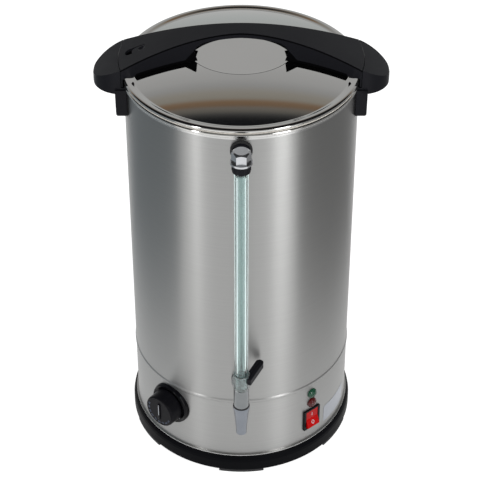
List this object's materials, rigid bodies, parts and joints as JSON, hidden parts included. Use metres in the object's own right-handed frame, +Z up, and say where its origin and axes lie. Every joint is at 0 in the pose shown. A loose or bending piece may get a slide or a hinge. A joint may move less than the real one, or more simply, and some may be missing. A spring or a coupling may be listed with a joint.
{
  "type": "hot water urn",
  "caption": "Tall steel hot water urn on a plastic base, with a lid under a bridge handle, side handles, a sight glass and a plug tap in front, and a thermostat knob and rocker switch.",
  "frame": {"origin": "centre of the circle of feet, on the counter", "axes": "+Z up along the tank's axis, -Y towards the front with the tap and sight glass, +X towards the rocker switch's side"},
  "size_m": [0.339, 0.3263, 0.5617],
  "materials": {
    "base_ring": "moulded, fine satin grain",
    "base_feet": "moulded",
    "base_plate": "galvanised",
    "base_screws": "zinc plated",
    "tie_rods": "zinc plated",
    "tank_skirt": "brushed round the tank",
    "tank_wall": "brushed round the tank",
    "tank_floor": "satin",
    "heat_plate": "rolled",
    "heating_element": "oxidised tube",
    "boil_dry_cutout": "phenolic",
    "thermostat_body": "phenolic and plated steel",
    "thermostat_bulb": "drawn copper",
    "capillary_tube": "drawn copper",
    "thermostat_screws": "zinc plated",
    "knob_bezel": "gloss",
    "thermostat_knob": "satin",
    "thermostat_spindle": "plated",
    "lamp_green": "clear tinted",
    "lamp_red": "clear tinted",
    "lamp_nuts": "plated",
    "switch_housing": "satin",
    "switch_rocker": "clear tinted",
    "switch_terminals": "stamped",
    "terminal_block": "moulded",
    "cord_gland": "moulded",
    "cord_gland_nut": "moulded",
    "side_handle_left": "moulded, fine grain",
    "side_handle_right": "moulded, fine grain",
    "side_handle_screws": "stainless",
    "tap_body": "satin plated",
    "tap_plug": "turned",
    "tap_collar": "clear",
    "tap_lever": "satin",
    "tap_washer": "moulded",
    "tap_spout": "satin plated",
    "tap_seal": "moulded",
    "tap_locknut": "plated",
    "sight_glass": "clear, drawn",
    "glass_packing": "moulded",
    "gauge_elbow": "ribbed, moulded",
    "gauge_cap": "plated",
    "gauge_seal": "moulded",
    "gauge_locknut": "plated",
    "inner_seals": "silicone",
    "lid_shell": "polished",
    "lid_skirt": "rolled",
    "lid_seal": "silicone",
    "handle_frame": "moulded",
    "handle_cover": "moulded, fine grain",
    "handle_screws": "stainless",
    "lock_slider": "moulded"
  },
  "bodies": {
    "urn": {"base_ring": "base_ring", "base_feet": "base_feet", "base_plate": "base_plate", "base_screws": "base_screws", "tie_rods": "tie_rods", "tank_skirt": "tank_skirt", "tank_wall": "tank_wall", "tank_floor": "tank_floor", "heat_plate": "heat_plate", "heating_element": "heating_element", "boil_dry_cutout": "boil_dry_cutout", "thermostat_body": "thermostat_body", "thermostat_bulb": "thermostat_bulb", "capillary_tube": "capillary_tube", "thermostat_screws": "thermostat_screws", "knob_bezel": "knob_bezel", "lamp_green": "lamp_green", "lamp_red": "lamp_red", "lamp_nuts": "lamp_nuts", "switch_housing": "switch_housing", "switch_terminals": "switch_terminals", "terminal_block": "terminal_block", "cord_gland": "cord_gland", "cord_gland_nut": "cord_gland_nut", "side_handle_left": "side_handle_left", "side_handle_right": "side_handle_right", "side_handle_screws": "side_handle_screws", "tap_body": "tap_body", "tap_washer": "tap_washer", "tap_spout": "tap_spout", "tap_seal": "tap_seal", "tap_locknut": "tap_locknut", "sight_glass": "sight_glass", "glass_packing": "glass_packing", "gauge_elbow": "gauge_elbow", "gauge_cap": "gauge_cap", "gauge_seal": "gauge_seal", "gauge_locknut": "gauge_locknut", "inner_seals": "inner_seals"},
    "knob": {"thermostat_knob": "thermostat_knob", "thermostat_spindle": "thermostat_spindle"},
    "rocker": {"switch_rocker": "switch_rocker"},
    "tap_key": {"tap_plug": "tap_plug", "tap_collar": "tap_collar", "tap_lever": "tap_lever"},
    "lid_lift": {"lid_seal": "lid_seal"},
    "lid": {"lid_shell": "lid_shell", "lid_skirt": "lid_skirt", "handle_frame": "handle_frame", "handle_cover": "handle_cover", "handle_screws": "handle_screws"},
    "lock": {"lock_slider": "lock_slider"}
  },
  "joints": [
    {"name": "knob_turn", "type": "hinge", "parent": "urn", "child": "knob", "pos_m": [-0.08768, -0.10265, 0.084], "axis": [0.6494, 0.7604, 0], "range_deg": [0, 270]},
    {"name": "rocker_tip", "type": "hinge", "parent": "urn", "child": "rocker", "pos_m": [0.08638, -0.10113, 0.059], "axis": [0.7604, 0.6494, 0], "range_deg": [0, 20]},
    {"name": "tap_turn", "type": "hinge", "parent": "urn", "child": "tap_key", "pos_m": [0, -0.167, 0.168], "axis": [0, 0, -1], "range_deg": [0, 90]},
    {"name": "lid_lift", "type": "slide", "parent": "urn", "child": "lid_lift", "axis": [0, 0, 1], "range_m": [0, 0.12]},
    {"name": "lid_turn", "type": "hinge", "parent": "lid_lift", "child": "lid", "pos_m": [0, 0, 0.512], "axis": [0, 0, 1], "range_deg": [0, 45]},
    {"name": "lock_slide", "type": "slide", "parent": "lid", "child": "lock", "axis": [-0.9204, 0, -0.3909], "range_m": [0, 0.008]}
  ]
}
